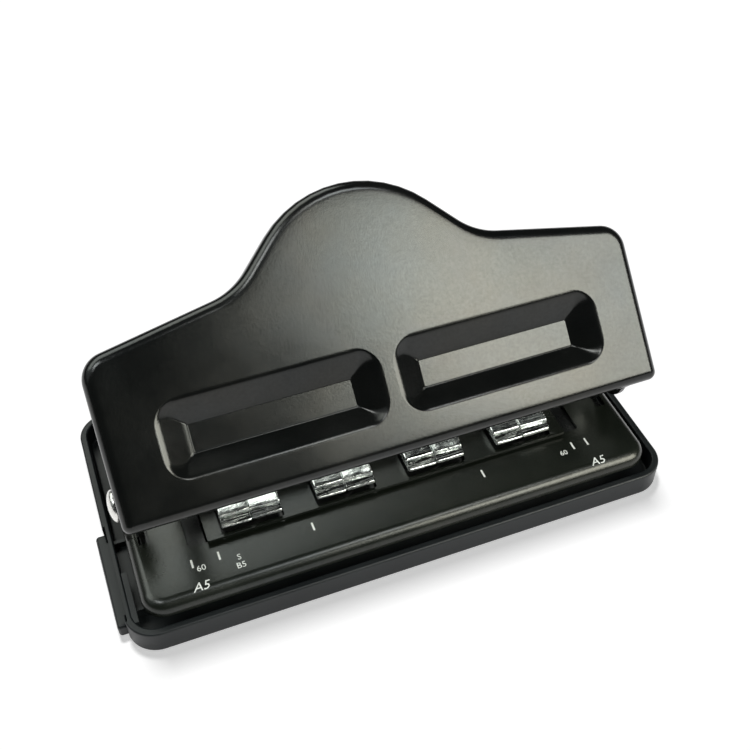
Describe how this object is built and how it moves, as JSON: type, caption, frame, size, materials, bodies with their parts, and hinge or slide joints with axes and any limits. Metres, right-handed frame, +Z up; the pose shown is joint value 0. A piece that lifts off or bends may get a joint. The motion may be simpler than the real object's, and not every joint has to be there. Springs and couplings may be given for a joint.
{
  "type": "hole punch",
  "caption": "Desktop hole punch with a wide raised lever that drives sprung T-slot punches for disc-bound notebooks, over a chip drawer.",
  "frame": {"origin": "on the resting surface, below the middle of the row of punch heads", "axes": "+X along the row of punches, to the right when facing the paper entry; +Y from the paper entry to the back; +Z up"},
  "size_m": [0.1521, 0.0771, 0.0862],
  "materials": {
    "base_pan": "matte black moulding",
    "chip_drawer": "matte black moulding",
    "deck_cover": "satin black paint",
    "guide_bar": "satin black paint",
    "lever_plate": "satin black paint",
    "hinge_frame": "blackened steel",
    "die_plate": "ground steel",
    "press_parts": "plain steel",
    "punch_heads": "bright zinc plating with fine scratches",
    "punch_pins": "hardened steel",
    "springs": "spring steel wire",
    "rivets": "nickel plated",
    "washers": "natural nylon",
    "screws": "zinc plated"
  },
  "bodies": {
    "base": {"base_pan": "base_pan", "deck_cover": "deck_cover", "hinge_frame": "hinge_frame", "guide_bar": "guide_bar", "die_plate": "die_plate", "deck_screw_1": "screws", "deck_screw_2": "screws", "deck_screw_3": "screws", "deck_screw_4": "screws", "hinge_rivet_left": "rivets", "hinge_rivet_right": "rivets", "hinge_washer_left": "washers", "hinge_washer_right": "washers", "return_spring_1": "springs", "return_spring_2": "springs", "return_spring_3": "springs", "return_spring_4": "springs"},
    "lever": {"lever_plate": "lever_plate", "press_bracket": "press_parts", "press_bar": "press_parts"},
    "punch_1": {"punch_head_1": "punch_heads", "punch_pin_1": "punch_pins"},
    "punch_2": {"punch_head_2": "punch_heads", "punch_pin_2": "punch_pins"},
    "punch_3": {"punch_head_3": "punch_heads", "punch_pin_3": "punch_pins"},
    "punch_4": {"punch_head_4": "punch_heads", "punch_pin_4": "punch_pins"},
    "drawer": {"chip_drawer": "chip_drawer"}
  },
  "joints": [
    {"name": "lever_hinge", "type": "hinge", "parent": "base", "child": "lever", "pos_m": [0, 0.009, 0.025], "axis": [-1, 0, 0], "range_deg": [0, 25], "stiffness_Nm_per_rad": 0.15, "springref_deg": -34.38},
    {"name": "punch_1_slide", "type": "slide", "parent": "base", "child": "punch_1", "axis": [0, 0, -1], "range_m": [0, 0.0029], "deforming": ["return_spring_1"]},
    {"name": "punch_2_slide", "type": "slide", "parent": "base", "child": "punch_2", "axis": [0, 0, -1], "range_m": [0, 0.0029], "deforming": ["return_spring_2"]},
    {"name": "punch_3_slide", "type": "slide", "parent": "base", "child": "punch_3", "axis": [0, 0, -1], "range_m": [0, 0.0029], "deforming": ["return_spring_3"]},
    {"name": "punch_4_slide", "type": "slide", "parent": "base", "child": "punch_4", "axis": [0, 0, -1], "range_m": [0, 0.0029], "deforming": ["return_spring_4"]},
    {"name": "drawer_slide", "type": "slide", "parent": "base", "child": "drawer", "axis": [-1, 0, 0], "range_m": [0, 0.09]}
  ],
  "couplings": [
    {"joint": "punch_1_slide", "follows": "lever_hinge", "m_per_rad": 0.0064},
    {"joint": "punch_2_slide", "follows": "lever_hinge", "m_per_rad": 0.0064},
    {"joint": "punch_3_slide", "follows": "lever_hinge", "m_per_rad": 0.0064},
    {"joint": "punch_4_slide", "follows": "lever_hinge", "m_per_rad": 0.0064}
  ]
}
